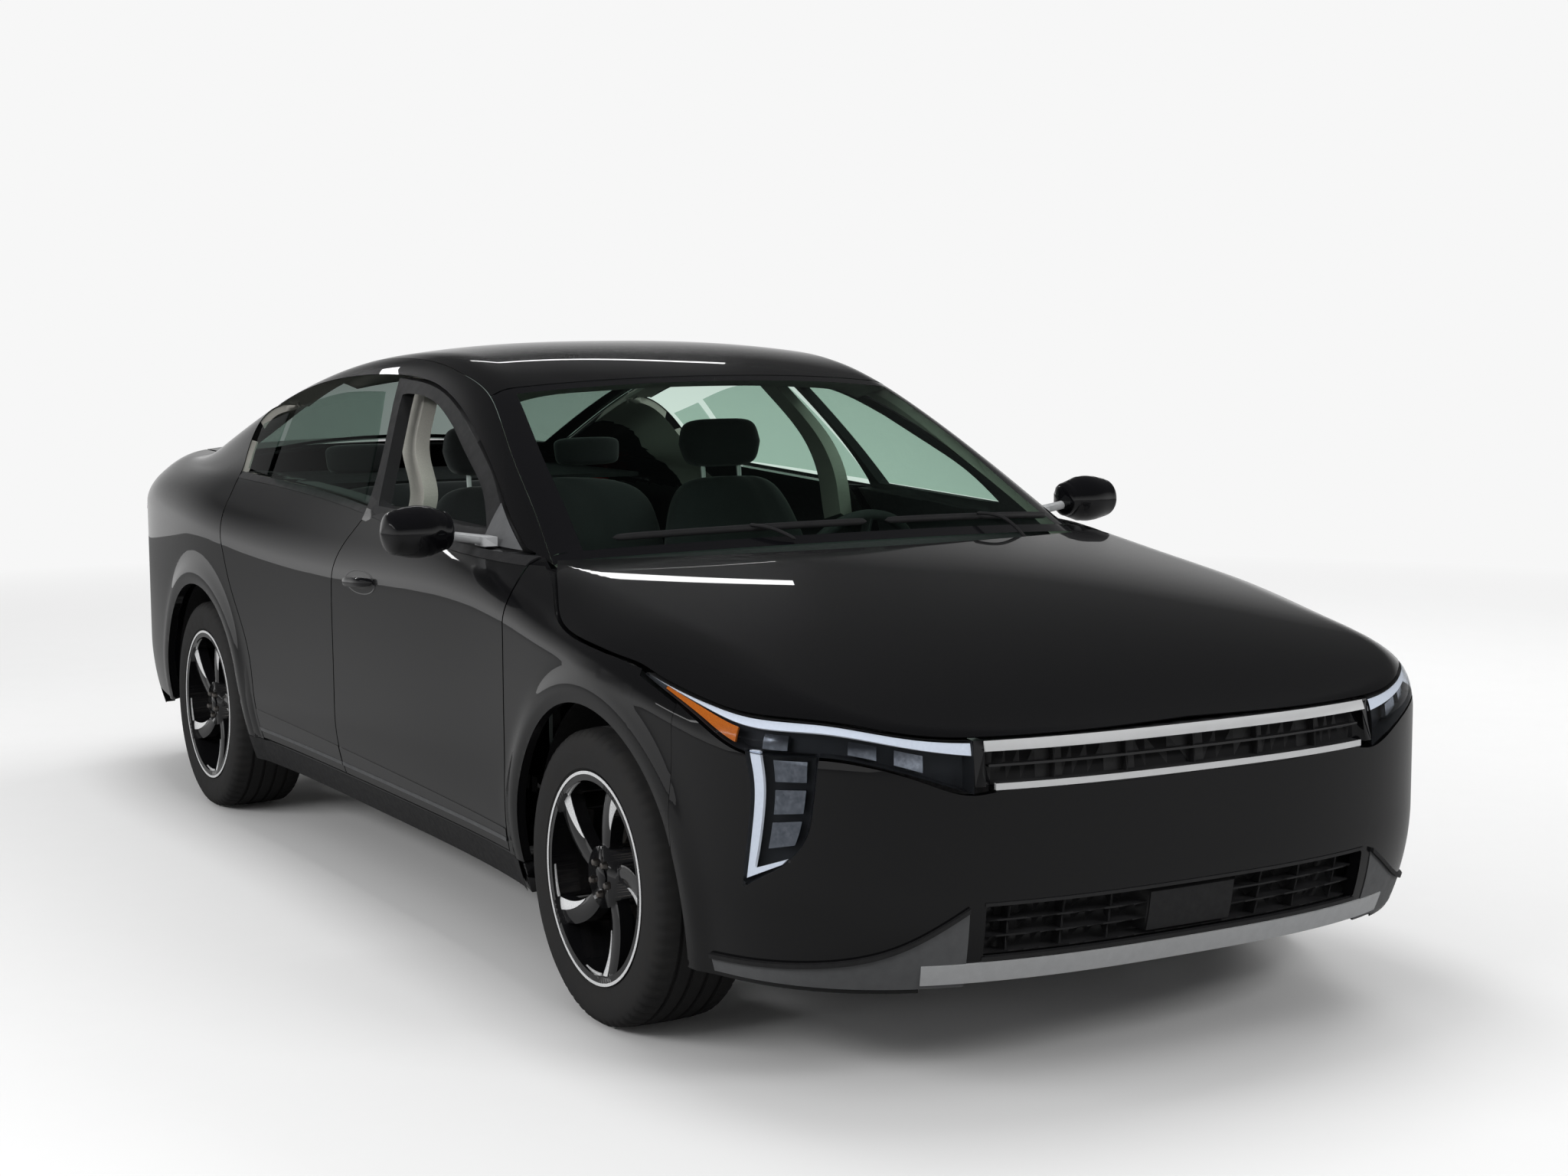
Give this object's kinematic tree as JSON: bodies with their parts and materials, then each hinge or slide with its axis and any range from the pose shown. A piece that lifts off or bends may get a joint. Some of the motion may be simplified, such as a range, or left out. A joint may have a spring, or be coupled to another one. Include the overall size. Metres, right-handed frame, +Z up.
{
  "type": "sedan car",
  "caption": "Low four-door sedan with a sloping rear roof, slim lamps, pinwheel wheels, a hollow cabin and trunk, and doors, lids, wheels and steering that move.",
  "frame": {"origin": "on the ground, under the middle of the car's length and width", "axes": "+X forward along the car, +Y to the car's left, +Z up"},
  "size_m": [4.7101, 2.112, 1.4218],
  "materials": {
    "paint": "gloss",
    "underbody": "satin",
    "trim": "matte",
    "gloss_trim": "gloss",
    "satin_trim": "satin",
    "lamp": "gloss",
    "tail_lamp": "gloss",
    "glass": "gloss",
    "dark_glass": "gloss",
    "cabin_plastic": "matte",
    "cabin_leather": "satin",
    "seat_fabric": "matte",
    "casting": "matte",
    "exhaust_steel": "satin",
    "liner": "matte",
    "tyre": "matte",
    "rim": "gloss"
  },
  "bodies": {
    "body": {"floor_pan": "underbody", "cowl": "trim", "body_side_left": "paint", "body_side_right": "paint", "roof_panel": "paint", "front_structure": "underbody", "front_fenders": "paint", "front_bumper": "paint", "rear_bumper": "paint", "upper_grille": "gloss_trim", "lower_grille": "trim", "chin_bar": "satin_trim", "headlamps": "lamp", "tail_lamps": "tail_lamp", "windshield": "glass", "rear_window": "dark_glass", "dashboard": "cabin_plastic", "front_seats": "seat_fabric", "rear_bench": "seat_fabric", "parcel_shelf": "trim", "engine": "casting", "front_subframe": "casting", "rear_axle_beam": "casting", "exhaust": "exhaust_steel", "fuel_tank": "trim", "wheel_liners": "liner"},
    "front_door_left": {"front_door_left": "paint", "glass_front_left": "glass", "mirror_left": "gloss_trim"},
    "front_door_right": {"front_door_right": "paint", "mirror_right": "gloss_trim"},
    "rear_door_left": {"rear_door_left": "paint", "glass_rear_left": "dark_glass"},
    "rear_door_right": {"rear_door_right": "paint", "glass_rear_right": "dark_glass"},
    "hood": {"hood": "paint"},
    "trunk_lid": {"trunk_lid": "paint"},
    "knuckle_left": {"knuckle_left": "casting"},
    "knuckle_right": {"knuckle_right": "casting"},
    "wheel_front_left": {"wheel_front_left": "rim", "tyre_front_left": "tyre"},
    "wheel_front_right": {"wheel_front_right": "rim", "tyre_front_right": "tyre"},
    "wheel_rear_left": {"wheel_rear_left": "rim", "tyre_rear_left": "tyre"},
    "wheel_rear_right": {"wheel_rear_right": "rim", "tyre_rear_right": "tyre"},
    "steering_wheel": {"steering_wheel": "cabin_leather"}
  },
  "joints": [
    {"name": "front_door_left_hinge", "type": "hinge", "parent": "body", "child": "front_door_left", "pos_m": [1.046, 0.911, 0.6], "axis": [0, 0, -1], "range_deg": [0, 65]},
    {"name": "rear_door_left_hinge", "type": "hinge", "parent": "body", "child": "rear_door_left", "pos_m": [-0.066, 0.907, 0.6], "axis": [0, 0, -1], "range_deg": [0, 65]},
    {"name": "front_door_right_hinge", "type": "hinge", "parent": "body", "child": "front_door_right", "pos_m": [1.046, -0.911, 0.6], "axis": [0, 0, 1], "range_deg": [0, 65]},
    {"name": "rear_door_right_hinge", "type": "hinge", "parent": "body", "child": "rear_door_right", "pos_m": [-0.066, -0.907, 0.6], "axis": [0, 0, 1], "range_deg": [0, 65]},
    {"name": "hood_hinge", "type": "hinge", "parent": "body", "child": "hood", "pos_m": [1.02, 0, 0.955], "axis": [0, -1, 0], "range_deg": [0, 50]},
    {"name": "trunk_lid_hinge", "type": "hinge", "parent": "body", "child": "trunk_lid", "pos_m": [-1.99, 0, 1.075], "axis": [0, 1, 0], "range_deg": [0, 75]},
    {"name": "steer_left", "type": "hinge", "parent": "body", "child": "knuckle_left", "pos_m": [1.485, 0.7, 0.317], "axis": [0, 0, 1], "range_deg": [-33, 33]},
    {"name": "spin_front_left", "type": "hinge", "parent": "knuckle_left", "child": "wheel_front_left", "pos_m": [1.485, 0.795, 0.317], "axis": [0, 1, 0], "continuous": true},
    {"name": "spin_rear_left", "type": "hinge", "parent": "body", "child": "wheel_rear_left", "pos_m": [-1.235, 0.795, 0.317], "axis": [0, 1, 0], "continuous": true},
    {"name": "steer_right", "type": "hinge", "parent": "body", "child": "knuckle_right", "pos_m": [1.485, -0.7, 0.317], "axis": [0, 0, 1], "range_deg": [-33, 33]},
    {"name": "spin_front_right", "type": "hinge", "parent": "knuckle_right", "child": "wheel_front_right", "pos_m": [1.485, -0.795, 0.317], "axis": [0, 1, 0], "continuous": true},
    {"name": "spin_rear_right", "type": "hinge", "parent": "body", "child": "wheel_rear_right", "pos_m": [-1.235, -0.795, 0.317], "axis": [0, 1, 0], "continuous": true},
    {"name": "steering_wheel_turn", "type": "hinge", "parent": "body", "child": "steering_wheel", "pos_m": [0.48, 0.37, 0.8], "axis": [-0.9135, 0, 0.4067], "range_deg": [-463, 463]}
  ],
  "couplings": [
    {"joint": "steer_right", "follows": "steer_left", "ratio": 1},
    {"joint": "steering_wheel_turn", "follows": "steer_left", "ratio": 14}
  ]
}
